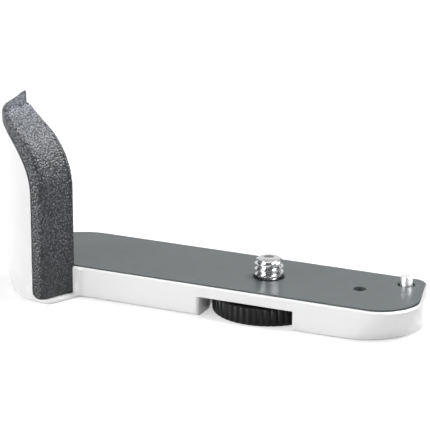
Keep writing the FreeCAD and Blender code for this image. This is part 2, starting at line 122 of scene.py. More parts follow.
# The floor keeps its shade as far as NEAR_FLOOR and is white from FAR_FLOOR on, in metres
NEAR_FLOOR = 0.3
FAR_FLOOR = 1.1
# Middle of the object, at which most lamps are aimed
AIM = (-0.01, 0.0, 0.01)
# Name, power in watts, width, place, aim, and whether the lamp shows in reflections alone
LAMPS = (
    ("key", 1.5, 0.35, (-0.7, -0.25, 0.3), AIM, False),
    ("front", 2.0, 0.35, (-0.38, -0.58, 0.2), AIM, False),
    ("right", 0.3, 0.3, (0.6, -0.1, 0.12), AIM, False),
    ("high", 2.3, 0.25, (0.17, 0.12, 0.5), AIM, False),
    ("sheen", 11.0, 0.5, (0.36, 0.05, 0.43), (-0.04, -0.01, 0.02), True),
    ("low_sheen", 8.0, 0.4, (-0.4, -0.6, 0.08), AIM, True),
    ("back_sheen", 0.65, 0.6, (-0.35, 0.65, 0.25), AIM, True),
    ("top", 0.4, 0.3, (0.17, 0.4, 0.55), AIM, False),
)
# Strength of the world, and its greys at two heights of its sky
WORLD_STRENGTH = 0.35
WORLD_GREYS = ((0.02, 0.12), (0.34, 1.0))
# The camera looks down by 17.71 degrees from the photograph's place
CAMERA_PLACE = (0.2035, -0.4667, 0.1767)
CAMERA_TURN = (90 - 17.71, 0.0, 24.89)
CAMERA_LENS = 205.4
CAMERA_SENSOR = 36.0
CAMERA_CLIP = (0.01, 20.0)


class HandGripSizes(bpy.types.PropertyGroup):
    """Sizes of the details that the frame leaves plain"""

    thread_pitch: bpy.props.FloatProperty(
        name="Thread pitch", description="Rise of the camera screw's thread in one turn",
        default=1.27 * MM, unit="LENGTH", precision=5)
    thread_depth: bpy.props.FloatProperty(
        name="Thread depth", description="Depth of the thread below its crest",
        default=0.75 * MM, unit="LENGTH", precision=5)
    shell_bevel: bpy.props.FloatProperty(
        name="Shell edge", description="Rounding of the white shell's sharp edges",
        default=0.22 * MM, unit="LENGTH", precision=5)
    small_bevel: bpy.props.FloatProperty(
        name="Small edge", description="Rounding of the small pieces' sharp edges",
        default=0.06 * MM, unit="LENGTH", precision=5)
    seat_gap: bpy.props.FloatProperty(
        name="Seat gap", description="Width of the dark seam round the seat sheet",
        default=0.24 * MM, unit="LENGTH", precision=5)
    skin_step: bpy.props.FloatProperty(
        name="Skin step", description="Width of the mesh cells of the soft pad's skin",
        default=0.19 * MM, unit="LENGTH", precision=5)
    skin_rounds: bpy.props.IntProperty(
        name="Skin rounding", description="Rounds of smoothing over the whole pad",
        default=5, min=0)
    rim_rounds: bpy.props.IntProperty(
        name="Rim rounding", description="Rounds of smoothing along the pad's camera side",
        default=14, min=0)
    cap_rounds: bpy.props.IntProperty(
        name="Cap rounding", description="Rounds of smoothing that dome the pad's top",
        default=120, min=0)
    rib_depth: bpy.props.FloatProperty(
        name="Rib depth", description="Depth of the grooves between the thumbwheel's ribs",
        default=0.5 * MM, unit="LENGTH", precision=5)
    wheel_chamfer: bpy.props.FloatProperty(
        name="Wheel chamfer", description="Chamfer round the thumbwheel's two rims",
        default=0.35 * MM, unit="LENGTH", precision=5)
    grain_size: bpy.props.FloatProperty(
        name="Grain size", description="Width of one pebble of the grip pad's grain",
        default=0.5 * MM, unit="LENGTH", precision=5)
    grain_depth: bpy.props.FloatProperty(
        name="Grain depth", description="Height of the pebbles above the grooves",
        default=0.24 * MM, unit="LENGTH", precision=5)
    socket_width: bpy.props.FloatProperty(
        name="Socket width", description="Width across flats of the small screws' hexagon socket",
        default=1.3 * MM, unit="LENGTH", precision=5)


class HandGripColours(bpy.types.PropertyGroup):
    """Colours of the finishes"""

    shell: bpy.props.FloatVectorProperty(
        name="Shell", description="Glossy white of the moulded body",
        default=(0.9, 0.9, 0.9), subtype="COLOR", min=0, max=1)
    cover: bpy.props.FloatVectorProperty(
        name="Covers", description="Matt white of the underside covers",
        default=(0.74, 0.74, 0.74), subtype="COLOR", min=0, max=1)
    pad: bpy.props.FloatVectorProperty(
        name="Pad", description="Grey of the grip pad's pebbles",
        default=(0.044, 0.048, 0.055), subtype="COLOR", min=0, max=1)
    # Painted shade: the dark grey between the pebbles stands in for the shade in the grooves
    pad_groove_shade: bpy.props.FloatVectorProperty(
        name="Pad grooves", description="Dark grey between the pebbles",
        default=(0.006, 0.007, 0.009), subtype="COLOR", min=0, max=1)
    seat: bpy.props.FloatVectorProperty(
        name="Seat", description="Grey of the seat sheet",
        default=(0.09, 0.103, 0.107), subtype="COLOR", min=0, max=1)
    wheel: bpy.props.FloatVectorProperty(
        name="Wheel", description="Black of the thumbwheel",
        default=(0.004, 0.0045, 0.0045), subtype="COLOR", min=0, max=1)
    steel: bpy.props.FloatVectorProperty(
        name="Steel", description="Bright steel of the screw and the pin",
        default=(0.72, 0.72, 0.73), subtype="COLOR", min=0, max=1)
    brass: bpy.props.FloatVectorProperty(
        name="Brass", description="Turned brass of the bushes",
        default=(0.62, 0.47, 0.22), subtype="COLOR", min=0, max=1)
    floor: bpy.props.FloatVectorProperty(
        name="Floor", description="Pale floor and backdrop",
        default=(0.62, 0.62, 0.62), subtype="COLOR", min=0, max=1)


def sizes():
    return bpy.context.scene.hand_grip_sizes


def colours():
    return bpy.context.scene.hand_grip_colours


def deselect_all():
    """Leave edit mode and select nothing."""
    if bpy.context.mode != "OBJECT":
        bpy.ops.object.mode_set(mode="OBJECT")
    bpy.ops.object.select_all(action="DESELECT")


def activate(obj):
    """Make one object the only selected one and the active one."""
    deselect_all()
    obj.select_set(True)
    bpy.context.view_layer.objects.active = obj


def merged_copy(node, name, merge=TOUCHING):
    """Copy of a CAD node with its vertices merged and its flat faces joined."""
    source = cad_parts[node]
    deselect_all()
    obj = source.copy()
    obj.data = source.data.copy()
    obj.name = name
    obj.data.name = name
    obj.parent = None
    bpy.context.scene.collection.objects.link(obj)
    obj.matrix_world.identity()
    activate(obj)
    bpy.ops.object.mode_set(mode="EDIT")
    bpy.ops.mesh.select_all(action="SELECT")
    bpy.ops.mesh.remove_doubles(threshold=merge)
    bpy.ops.mesh.dissolve_limited(angle_limit=math.radians(FLAT))
    bpy.ops.object.mode_set(mode="OBJECT")
    obj.data.materials.clear()
    return obj


def bevel(obj, width, angle=SHARP):
    """Round the edges that are sharper than an angle."""
    activate(obj)
    modifier = obj.modifiers.new("Edges", "BEVEL")
    modifier.width = width
    modifier.segments = 2
    modifier.limit_method = "ANGLE"
    modifier.angle_limit = math.radians(angle)
    modifier.use_clamp_overlap = True
    modifier.miter_outer = "MITER_ARC"
    modifier.harden_normals = False
    bpy.ops.object.modifier_apply(modifier=modifier.name)


def smooth(obj, angle=SHARP, weighted=True):
    """Shade smooth up to an angle, flat faces leading."""
    activate(obj)
    bpy.ops.object.shade_smooth_by_angle(angle=math.radians(angle))
    if weighted:
        modifier = obj.modifiers.new("Normals", "WEIGHTED_NORMAL")
        modifier.keep_sharp = True
        modifier.weight = 50
        bpy.ops.object.modifier_apply(modifier=modifier.name)


def draw_in(obj, amount, holes):
    """Move a sheet's outer walls inwards; walls round the holes (x, y, reach) stay."""
    mesh = bmesh.new()
    mesh.from_mesh(obj.data)
    moves = {}
    for vertex in mesh.verts:
        if any(math.hypot(vertex.co.x - x, vertex.co.y - y) < reach for x, y, reach in holes):
            continue
        walls = Vector((0, 0, 0))
        for face in vertex.link_faces:
            if abs(face.normal.z) < 0.5:
                walls += face.normal
        if walls.length > 0:
            moves[vertex] = walls.normalized() * amount
    for vertex, move in moves.items():
        vertex.co -= move
    mesh.to_mesh(obj.data)
    mesh.free()


def boolean(obj, other, operation):
    """Combine an object with another and delete the other."""
    activate(obj)
    modifier = obj.modifiers.new("Form", "BOOLEAN")
    modifier.operation = operation
    modifier.solver = "EXACT"
    modifier.object = other
    bpy.ops.object.modifier_apply(modifier=modifier.name)
    bpy.data.objects.remove(other)


def finish_piece(obj, body, material, replaced):
    """Give a piece its body and finish, and hide the nodes that it stands for."""
    obj.data.materials.clear()
    obj.data.materials.append(material)
    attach(obj, body)
    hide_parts(*replaced)


class Finish:
    """A node material under construction, with short ways to add and link nodes."""

    def __init__(self, name):
        self.material = bpy.data.materials.new(name)
        self.material.use_nodes = True
        self.tree = self.material.node_tree
        self.shader = self.tree.nodes["Principled BSDF"]
        self.coordinates = self.tree.nodes.new("ShaderNodeTexCoord").outputs["Object"]

    def add(self, kind, **settings):
        node = self.tree.nodes.new(kind)
        for key, value in settings.items():
            setattr(node, key, value)
        return node

    def link(self, output, target):
        self.tree.links.new(output, target)

    def noise(self, scale, detail=3.0, roughness=0.5, coordinates=None):
        node = self.add("ShaderNodeTexNoise")
        node.inputs["Scale"].default_value = scale
        node.inputs["Detail"].default_value = detail
        node.inputs["Roughness"].default_value = roughness
        self.link(coordinates or self.coordinates, node.inputs["Vector"])
        return node.outputs["Fac"]

    def ramp(self, factor, *stops):
        """Colour ramp; each stop is (position, colour or grey)."""
        node = self.add("ShaderNodeValToRGB")
        elements = node.color_ramp.elements
        while len(elements) < len(stops):
            elements.new(0.5)
        for element, (position, value) in zip(elements, stops):
            element.position = position
            colour = tuple(value) if hasattr(value, "__len__") else (value,) * 3
            element.color = (*colour, 1.0)
        self.link(factor, node.inputs["Fac"])
        return node.outputs["Color"]

    def math(self, operation, first, second):
        node = self.add("ShaderNodeMath", operation=operation)
        for index, value in enumerate((first, second)):
            if isinstance(value, (int, float)):
                node.inputs[index].default_value = value
            else:
                self.link(value, node.inputs[index])
        return node.outputs["Value"]

    def bump(self, height, strength, distance):
        node = self.add("ShaderNodeBump")
        node.inputs["Strength"].default_value = strength
        node.inputs["Distance"].default_value = distance
        self.link(height, node.inputs["Height"])
        self.link(node.outputs["Normal"], self.shader.inputs["Normal"])


def tinted(colour, factor):
    """Colour times a factor, no channel above 1."""
    return tuple(min(1.0, channel * factor) for channel in colour)


def shell_finish():
    """Glossy white moulding with a faint waviness and slight toning."""
    finish = Finish("glossy white moulding")
    colour = tuple(colours().shell)
    tone = finish.noise(scale=25.0)
    toned = finish.ramp(tone, (0.3, tinted(colour, 0.985)), (0.7, colour))
    finish.link(toned, finish.shader.inputs["Base Color"])
    gloss = finish.noise(scale=350.0, detail=4.0)
    finish.link(finish.ramp(gloss, (0.3, 0.2), (0.75, 0.28)), finish.shader.inputs["Roughness"])
    waves = finish.noise(scale=1500.0, detail=2.0)
    finish.bump(waves, strength=0.04, distance=0.01 * MM)
    finish.shader.inputs["Coat Weight"].default_value = 0.3
    finish.shader.inputs["Coat Roughness"].default_value = 0.1
    return finish.material


def cover_finish():
    """Matt white moulding with spark-eroded grain."""
    finish = Finish("grained white moulding")
    colour = tuple(colours().cover)
    tone = finish.noise(scale=90.0, detail=4.0)
    toned = finish.ramp(tone, (0.3, tinted(colour, 0.95)), (0.7, colour))
    finish.link(toned, finish.shader.inputs["Base Color"])
    finish.shader.inputs["Roughness"].default_value = 0.62
    grain = finish.noise(scale=5200.0, roughness=0.6)
    finish.bump(grain, strength=0.35, distance=0.03 * MM)
    return finish.material


def grain_finish(name, size, depth, gloss, levels=None):
    """Pebble grain with painted shade in its grooves and a painted highlight on its crowns;
    between two levels, painted light makes it darker at the foot and lighter upwards, as a
    painted sheen.
    """
    finish = Finish(name)
    warp = finish.add("ShaderNodeTexNoise")
    warp.inputs["Scale"].default_value = 0.4 / size
    warp.inputs["Detail"].default_value = 2.0
    finish.link(finish.coordinates, warp.inputs["Vector"])
    offset = finish.add("ShaderNodeVectorMath", operation="SCALE")
    finish.link(warp.outputs["Color"], offset.inputs[0])
    offset.inputs["Scale"].default_value = 0.5 * size
    moved = finish.add("ShaderNodeVectorMath", operation="ADD")
    finish.link(finish.coordinates, moved.inputs[0])
    finish.link(offset.outputs["Vector"], moved.inputs[1])
    pebbles = finish.add("ShaderNodeTexVoronoi", feature="SMOOTH_F1")
    pebbles.inputs["Scale"].default_value = 1.0 / size
    pebbles.inputs["Smoothness"].default_value = 0.25
    pebbles.inputs["Randomness"].default_value = 0.95
    finish.link(moved.outputs["Vector"], pebbles.inputs["Vector"])
    creases = finish.add("ShaderNodeTexVoronoi", feature="SMOOTH_F1")
    creases.inputs["Scale"].default_value = 2.3 / size
    creases.inputs["Smoothness"].default_value = 0.3
    finish.link(moved.outputs["Vector"], creases.inputs["Vector"])
    large = finish.math("MULTIPLY", pebbles.outputs["Distance"], 0.75)
    small = finish.math("MULTIPLY", creases.outputs["Distance"], 0.25)
    hollow = finish.math("ADD", large, small)
    finish.bump(finish.math("SUBTRACT", 1.0, hollow), strength=1.0, distance=depth)
    # The pad's top is painted lighter, a painted sheen of light from above
    sheen_lift = SHEEN_PAINT_LIFT if levels else 1.0
    top = tinted(colours().pad, sheen_lift)
    groove_shade = tinted(colours().pad_groove_shade, sheen_lift)
    # Painted shade darkens the grooves and a painted highlight lightens the pebbles' crowns,
    # standing in for the grain's shading
    toned = finish.ramp(hollow, (0.14, tinted(top, 2.0)), (0.34, top), (0.55, groove_shade))
    if levels:
        toned = painted_light_upwards(finish, toned, levels)
    finish.link(toned, finish.shader.inputs["Base Color"])
    worn = finish.noise(scale=140.0)
    shine = finish.ramp(worn, (0.3, gloss), (0.75, gloss + 0.12))
    finish.link(shine, finish.shader.inputs["Roughness"])
    finish.shader.inputs["Specular IOR Level"].default_value = 0.42
    return finish.material


def painted_light_upwards(finish, colour, levels):
    """Colour with painted light: painted shade darkens it at the lower of two levels, and a
    painted sheen brings it to full at the upper one.
    """
    split = finish.add("ShaderNodeSeparateXYZ")
    finish.link(finish.coordinates, split.inputs["Vector"])
    share = finish.add("ShaderNodeMapRange")
    share.inputs["From Min"].default_value = levels[0]
    share.inputs["From Max"].default_value = levels[1]
    finish.link(split.outputs["Z"], share.inputs["Value"])
    # Painted shade at the foot, painted sheen at the top
    painted_shading = finish.ramp(
        share.outputs["Result"],
        (0.0, 0.07), (0.3, 0.3), (0.75, 0.32), (0.94, 0.45), (0.99, 1.0))
    mix = finish.add("ShaderNodeMix", data_type="RGBA", blend_type="MULTIPLY")
    mix.inputs["Factor"].default_value = 1.0
    finish.link(colour, mix.inputs["A"])
    finish.link(painted_shading, mix.inputs["B"])
    return mix.outputs["Result"]


def seat_finish():
    """Semi-gloss grey sheet with a very fine matt grain."""
    finish = Finish("semi-gloss grey sheet")
    colour = tuple(colours().seat)
    tone = finish.noise(scale=45.0, detail=4.0)
    toned = finish.ramp(tone, (0.3, tinted(colour, 0.97)), (0.7, tinted(colour, 1.03)))
    finish.link(toned, finish.shader.inputs["Base Color"])
    sheen = finish.noise(scale=200.0, detail=4.0)
    finish.link(finish.ramp(sheen, (0.3, 0.33), (0.75, 0.38)), finish.shader.inputs["Roughness"])
    finish.shader.inputs["Specular IOR Level"].default_value = 0.35
    grain = finish.noise(scale=6500.0, detail=2.0)
    finish.bump(grain, strength=0.12, distance=0.02 * MM)
    return finish.material


def wheel_finish():
    """Black moulding, its tone and roughness varying a little at random."""
    finish = Finish("black ribbed moulding")
    colour = tuple(colours().wheel)
    tone = finish.noise(scale=300.0, detail=4.0)
    toned = finish.ramp(tone, (0.3, colour), (0.75, tinted(colour, 1.5)))
    finish.link(toned, finish.shader.inputs["Base Color"])
    finish.link(finish.ramp(tone, (0.3, 0.4), (0.75, 0.5)), finish.shader.inputs["Roughness"])
    finish.shader.inputs["Specular IOR Level"].default_value = 0.2
    grain = finish.noise(scale=5200.0, detail=2.0)
    finish.bump(grain, strength=0.15, distance=0.02 * MM)
    return finish.material


def metal_finish(name, colour, low, high, lines, relief=0.12):
    """Turned metal of low to high roughness, with fine lines square to the Z axis."""
    finish = Finish(name)
    tone = finish.noise(scale=700.0)
    toned = finish.ramp(tone, (0.3, tinted(colour, 0.9)), (0.7, colour))
    finish.link(toned, finish.shader.inputs["Base Color"])
    stretch = finish.add("ShaderNodeMapping")
    stretch.inputs["Scale"].default_value = (1.0, 1.0, lines)
    finish.link(finish.coordinates, stretch.inputs["Vector"])
    marks = finish.noise(scale=900.0, roughness=0.6, coordinates=stretch.outputs["Vector"])
    finish.link(finish.ramp(marks, (0.3, low), (0.75, high)), finish.shader.inputs["Roughness"])
    finish.bump(marks, strength=relief, distance=0.01 * MM)
    finish.shader.inputs["Metallic"].default_value = 1.0
    return finish.material


FINISHES = {}


def finish_named(key):
    """Each finish is made once and shared."""
    if key in FINISHES:
        return FINISHES[key]
    size = sizes().grain_size
    depth = sizes().grain_depth
    steel = colours().steel
    makers = {
        "shell": shell_finish,
        "cover": cover_finish,
        # The pad's grain gets painted shade at its foot and painted sheen at its top, between
        # these heights
        "pad": lambda: grain_finish(
            "pebble-grained grey pad", size, depth, gloss=0.32,
            levels=[corner[2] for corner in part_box("grip_pad")]),
        "lining": lambda: grain_finish(
            "fine-grained grey lining", 0.6 * size, 0.3 * depth, gloss=0.55),
        "seat": seat_finish,
        "wheel": wheel_finish,
        "bright": lambda: metal_finish(
            "bright turned steel", tuple(steel), low=0.1, high=0.14, lines=6.0, relief=0.02),
        "steel": lambda: metal_finish(
            "plain steel", tinted(steel, 0.8), low=0.3, high=0.42, lines=2.0),
        "satin": lambda: metal_finish(
            "satin steel", tinted(steel, 1.3), low=0.3, high=0.4, lines=2.0),
        "blackened": lambda: metal_finish(
            "blackened steel", tinted(steel, 0.03), low=0.45, high=0.55, lines=1.0),
        "brass": lambda: metal_finish(
            "turned brass", tuple(colours().brass), low=0.22, high=0.34, lines=6.0),
    }
    FINISHES[key] = makers[key]()
    return FINISHES[key]


def lathe(name, profile, segments):
    """Closed turned form about the Z axis from (radius, height) points."""
    deselect_all()
    bpy.ops.mesh.primitive_plane_add(size=1.0, location=(0, 0, 0))
    obj = bpy.context.object
    obj.name = name
    mesh = bmesh.new()
    points = [mesh.verts.new((radius, 0, height)) for radius, height in profile]
    for first, second in zip(points, points[1:]):
        mesh.edges.new((first, second))
    mesh.to_mesh(obj.data)
    mesh.free()
    activate(obj)
    bpy.ops.object.mode_set(mode="EDIT")
    bpy.ops.mesh.select_all(action="SELECT")
    bpy.ops.mesh.spin(
        steps=segments, angle=2 * math.pi, center=(0, 0, 0), axis=(0, 0, 1))
    bpy.ops.mesh.select_all(action="SELECT")
    bpy.ops.mesh.remove_doubles(threshold=TOUCHING)
    bpy.ops.mesh.normals_make_consistent(inside=False)
    bpy.ops.object.mode_set(mode="OBJECT")
    return obj


def thread_ridge(name, crest, root, pitch, turns, start):
    """Helical ridge of a screw thread from a four-cornered section, rising from a level."""
    deselect_all()
    bpy.ops.mesh.primitive_plane_add(size=1.0, location=(0, 0, 0))
    obj = bpy.context.object
    obj.name = name
    half_root = 0.46 * pitch
    half_crest = 0.07 * pitch
    corners = ((root, -half_root), (crest, -half_crest), (crest, half_crest), (root, half_root))
    for vertex, (radius, height) in zip(obj.data.vertices, sorted(
            corners, key=lambda corner: (corner[1] > 0, corner[0]))):
        vertex.co = (radius, 0, start + height)
    activate(obj)
    modifier = obj.modifiers.new("Turns", "SCREW")
    modifier.angle = 2 * math.pi * turns
    modifier.screw_offset = pitch * turns
    modifier.steps = int(THREAD_STEPS * turns)
    modifier.render_steps = modifier.steps
    modifier.use_merge_vertices = False
    bpy.ops.object.modifier_apply(modifier=modifier.name)
    bpy.ops.object.mode_set(mode="EDIT")
    bpy.ops.mesh.select_all(action="SELECT")
    bpy.ops.mesh.fill_holes(sides=4)
    bpy.ops.mesh.select_all(action="SELECT")
    bpy.ops.mesh.normals_make_consistent(inside=False)
    bpy.ops.object.mode_set(mode="OBJECT")
    return obj


def rounded_copy(node, name, body, finish, width):
    """Edge-rounded copy of a CAD node that stands for it."""
    obj = merged_copy(node, name, merge=SHORT_EDGE)
    bevel(obj, width)
    smooth(obj)
    finish_piece(obj, body, finish_named(finish), (node,))


def hexagon_socket(obj, width, depth, top):
    """Sink a hexagon socket into a flat head."""
    deselect_all()
    bpy.ops.mesh.primitive_cylinder_add(
        vertices=6, radius=width / math.sqrt(3), depth=2 * depth, location=(0, 0, top))
    boolean(obj, bpy.context.object, "DIFFERENCE")


def countersunk_screw(length):
    """Small countersunk screw with its head's face at the origin, pointing up."""
    head = 1.81 * MM
    neck = 0.93 * MM
    rise = 0.9 * MM
    chamfer = 0.1 * MM
    edge = 0.05 * MM
    sunk = 0.01 * MM
    profile = [
        (0, -length), (neck - chamfer, -length), (neck, -length + chamfer), (neck, -rise),
        (head, -chamfer), (head, -edge), (head - edge, -sunk), (0, -sunk),
    ]
    obj = lathe("small_screw", profile, segments=40)
    hexagon_socket(obj, sizes().socket_width, depth=0.7 * MM, top=0)
    smooth(obj)
    return obj


def placed_copy(source, name, location, turn):
    """Copy of a piece with its own mesh, its place put into the mesh."""
    obj = source.copy()
    obj.data = source.data.copy()
    obj.name = name
    obj.data.name = name
    bpy.context.scene.collection.objects.link(obj)
    obj.rotation_euler = turn
    obj.location = location
    activate(obj)
    bpy.ops.object.transform_apply(location=True, rotation=True, scale=True)
    return obj


def node_middle(node):
    """Middle of a CAD node's box."""
    low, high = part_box(node)
    return (Vector(low) + Vector(high)) / 2


class HANDGRIP_OT_shell(bpy.types.Operator):
    """White moulded body with softly rounded edges"""

    bl_idname = "hand_grip.shell"
    bl_label = "Moulded body"

    def execute(self, context):
        rounded_copy(
            "body_shell", "moulded_body", GRIP, "shell", sizes().shell_bevel)
        return {"FINISHED"}


class HANDGRIP_OT_covers(bpy.types.Operator):
    """Two covers of the underside"""

    bl_idname = "hand_grip.covers"
    bl_label = "Underside covers"

    def execute(self, context):
        for node in ("base_cover_left", "base_cover_right"):
            rounded_copy(
                node, node.replace("base", "underside"), GRIP, "cover",
                sizes().shell_bevel)
        return {"FINISHED"}


class HANDGRIP_OT_pad(bpy.types.Operator):
    """Pebble-grained grip pad with a rounded top rim"""

    bl_idname = "hand_grip.pad"
    bl_label = "Grip pad"

    def mark(self, pad, top):
        """Weigh the rim along the camera, and the cap with its corner on the camera side"""
        cap = pad.vertex_groups.new(name="cap")
        rim = pad.vertex_groups.new(name="rim")
        for vertex in pad.data.vertices:
            x, y, z = vertex.co
            reach = math.hypot(
                min(0.0, x - CAMERA_CORNER[0]), y - CAMERA_CORNER[1]) - CAMERA_CORNER_RADIUS
            if reach < RIM_REACH:
                rim.add([vertex.index], min(1.0, RIM_START - reach / RIM_FADE), "REPLACE")
            if z > top - CAP_DEPTH and reach > CAP_INSET:
                weight = min(1.0, (z - top + CAP_DEPTH) / CAP_FADE) * min(
                    1.0, (reach - CAP_INSET) / CAP_INSET_FADE)
                cap.add([vertex.index], weight, "REPLACE")
            near = math.dist(vertex.co, (*PAD_CORNER, top))
            if near < PAD_CORNER_REACH:
                cap.add([vertex.index], 1.0 - near / PAD_CORNER_REACH, "ADD")

    def execute(self, context):
        pad = merged_copy("grip_pad", "grained_pad")
        modifier = pad.modifiers.new("Skin", "REMESH")
        modifier.mode = "VOXEL"
        modifier.voxel_size = sizes().skin_step
        bpy.ops.object.modifier_apply(modifier=modifier.name)
        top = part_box("grip_pad")[1][2]
        self.mark(pad, top)
        modifier = pad.modifiers.new("Growth", "DISPLACE")
        modifier.strength = RIM_GROWTH
        modifier.mid_level = 0.0
        modifier.vertex_group = "rim"
        bpy.ops.object.modifier_apply(modifier=modifier.name)
        rounds = sizes()
        for group, iterations in (
                ("", rounds.skin_rounds), ("rim", rounds.rim_rounds), ("cap", rounds.cap_rounds)):
            modifier = pad.modifiers.new("Smooth", "SMOOTH")
            modifier.factor = 0.5
            modifier.iterations = iterations
            modifier.vertex_group = group
            bpy.ops.object.modifier_apply(modifier=modifier.name)
        # Smoothing can lift a vertex a little over the CAD's top
        for vertex in pad.data.vertices:
            vertex.co.z = min(vertex.co.z, top)
        bpy.ops.object.shade_smooth()
        finish_piece(pad, GRIP, finish_named("pad"), ("grip_pad",))
        return {"FINISHED"}


class HANDGRIP_OT_lining(bpy.types.Operator):
    """Lining of the upright's camera side, open over its two screws"""

    bl_idname = "hand_grip.lining"
    bl_label = "Lining"

    def execute(self, context):
        lining = merged_copy("grip_lining", "upright_lining")
        play = 0.05 * MM
        depth = 8 * MM
        for number in (1, 2):
            low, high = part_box(f"lining_screw_{number}")
            middle = node_middle(f"lining_screw_{number}")
            deselect_all()
            bpy.ops.mesh.primitive_cylinder_add(
                vertices=48, radius=(high[0] - low[0]) / 2 + play, depth=depth,
                location=(middle.x, high[1] + depth / 2, middle.z), rotation=(math.pi / 2, 0, 0))
            boolean(lining, bpy.context.object, "DIFFERENCE")
        smooth(lining)
        finish_piece(lining, GRIP, finish_named("lining"), ("grip_lining",))
        return {"FINISHED"}


class HANDGRIP_OT_seat(bpy.types.Operator):
    """Grey sheet on which the camera stands"""

    bl_idname = "hand_grip.seat"
    bl_label = "Seat sheet"

    def execute(self, context):
        pin = node_middle("locating_pin")
        seat = merged_copy("seat_sheet", "camera_seat")
        # Places of the sheet's holes, each with a reach that takes in the hole's wall
        screw_hole = (0, 0, 7 * MM)
        pin_hole = (pin.x, pin.y, 3 * MM)
        locating_hole = (20 * MM, 0, 5 * MM)
        draw_in(seat, sizes().seat_gap, (screw_hole, pin_hole, locating_hole))
        bevel(seat, sizes().small_bevel)
        smooth(seat)
        finish_piece(seat, GRIP, finish_named("seat"), ("seat_sheet",))
        return {"FINISHED"}


class HANDGRIP_OT_screw(bpy.types.Operator):
    """Camera screw with a cut thread, a chamfered top and a shallow dish"""

    bl_idname = "hand_grip.screw"
    bl_label = "Camera screw"

    def execute(self, context):
        low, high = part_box("camera_screw")
        wheel_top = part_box("thumbwheel")[1][2]
        bush_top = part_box("screw_bush")[1][2]
        play = 0.05 * MM
        collar = high[0] - play
        shank = 2.75 * MM
        drive = 2.05 * MM
        crest = THREAD_RADIUS
        root = crest - sizes().thread_depth
        chamfer = 0.65 * MM
        collar_foot = bush_top + play
        collar_top = bush_top + play + 0.4 * MM
        foot = 0.12 * MM
        below = [
            (0, low[2]), (drive, low[2]), (drive, wheel_top), (shank, wheel_top),
            (shank, collar_foot), (collar, collar_foot), (collar, collar_top),
        ]
        dish = [(1.75 * MM, high[2]), (1.45 * MM, high[2] - 0.16 * MM), (0, high[2] - 0.3 * MM)]
        core = lathe("camera_screw_piece", below + [
            (root, collar_top), (root, high[2] + chamfer), (0, high[2] + chamfer)], segments=96)
        pitch = sizes().thread_pitch
        run_out = 1.1 * pitch
        turns = (high[2] + 2 * run_out) / pitch
        ridge = thread_ridge("thread", crest, root - 0.1 * MM, pitch, turns, start=-run_out)
        boolean(core, ridge, "UNION")
        # The ridge is cut to the screw's outline, so it fades out at both ends
        envelope = lathe("envelope", below + [
            (root, collar_top), (root, foot), (crest, foot + crest - root),
            (crest, high[2] - chamfer), (crest - chamfer, high[2])] + dish, segments=96)
        boolean(core, envelope, "INTERSECT")
        bevel(core, 0.04 * MM, angle=30)
        smooth(core, angle=35, weighted=False)
        finish_piece(core, WHEEL, finish_named("bright"), ("camera_screw",))
        return {"FINISHED"}


class HANDGRIP_OT_wheel(bpy.types.Operator):
    """Ribbed thumbwheel and its clamping screw"""

    bl_idname = "hand_grip.wheel"
    bl_label = "Thumbwheel"

    def ribbed_wheel(self):
        """Wheel whose grooves run out into smooth chamfered rims, recessed below"""
        low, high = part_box("thumbwheel")
        radius = high[0]
        deselect_all()
        bpy.ops.mesh.primitive_cylinder_add(
            vertices=RIBS * RIB_POINTS, radius=radius, depth=high[2] - low[2],
            location=(0, 0, (low[2] + high[2]) / 2))
        wheel = bpy.context.object
        wheel.name = "ribbed_wheel"
        activate(wheel)
        bpy.ops.object.transform_apply(location=True, rotation=True, scale=True)
        mesh = bmesh.new()
        mesh.from_mesh(wheel.data)
        for edge in mesh.edges:
            edge.select_set(abs(edge.verts[0].co.z - edge.verts[1].co.z) < TOUCHING)
        mesh.to_mesh(wheel.data)
        mesh.free()
        bpy.ops.object.mode_set(mode="EDIT")
        bpy.ops.mesh.bevel(offset=sizes().wheel_chamfer, segments=3, affect="EDGES")
        bpy.ops.object.mode_set(mode="OBJECT")
        for vertex in wheel.data.vertices:
            reach = math.hypot(vertex.co.x, vertex.co.y)
            share = math.atan2(vertex.co.y, vertex.co.x) / (2 * math.pi) * RIBS % 1.0
            depth = max(0.0, -math.sin(2 * math.pi * share)) * sizes().rib_depth
            cut = min(1.0, (radius - depth) / reach)
            vertex.co.x *= cut
            vertex.co.y *= cut
        # The face below, inside the chamfer, becomes the recess
        mesh = bmesh.new()
        mesh.from_mesh(wheel.data)
        for face in mesh.faces:
            face.select_set(face.normal.z < -0.99 and len(face.verts) > 4)
        mesh.to_mesh(wheel.data)
        mesh.free()
        bpy.ops.object.mode_set(mode="EDIT")
        bpy.ops.mesh.inset(thickness=0.05 * MM)
        bpy.ops.object.mode_set(mode="OBJECT")
        for vertex in wheel.data.vertices:
            if vertex.select:
                cut = WHEEL_RECESS_RADIUS / math.hypot(vertex.co.x, vertex.co.y)
                vertex.co.x *= cut
                vertex.co.y *= cut
        bpy.ops.object.mode_set(mode="EDIT")
        bpy.ops.mesh.extrude_region_move(
            TRANSFORM_OT_translate={"value": (0, 0, WHEEL_RECESS_DEPTH)})
        bpy.ops.object.mode_set(mode="OBJECT")
        smooth(wheel, angle=40, weighted=False)
        return wheel

    def execute(self, context):
        wheel = self.ribbed_wheel()
        finish_piece(wheel, WHEEL, finish_named("wheel"), ("thumbwheel",))
        low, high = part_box("wheel_screw")
        # The CAD's head has twelve sides, with its corners on a radius of 4 mm
        corner = 4.0 * MM
        play = 0.01 * MM
        radius = corner * math.cos(math.radians(15)) - play
        seat = low[2] + 0.85 * MM
        shank = 1.4 * MM
        rounding = 0.15 * MM
        bend = 0.3 * rounding
        screw = lathe("wheel_screw_piece", [
            (0, low[2]), (radius - rounding, low[2]), (radius - bend, low[2] + bend),
            (radius, low[2] + rounding), (radius, seat), (shank, seat), (shank, high[2]),
            (0, high[2])], segments=64)
        hexagon_socket(screw, width=2.5 * MM, depth=0.7 * MM, top=low[2])
        smooth(screw)
        finish_piece(screw, WHEEL, finish_named("steel"), ("wheel_screw",))
        return {"FINISHED"}


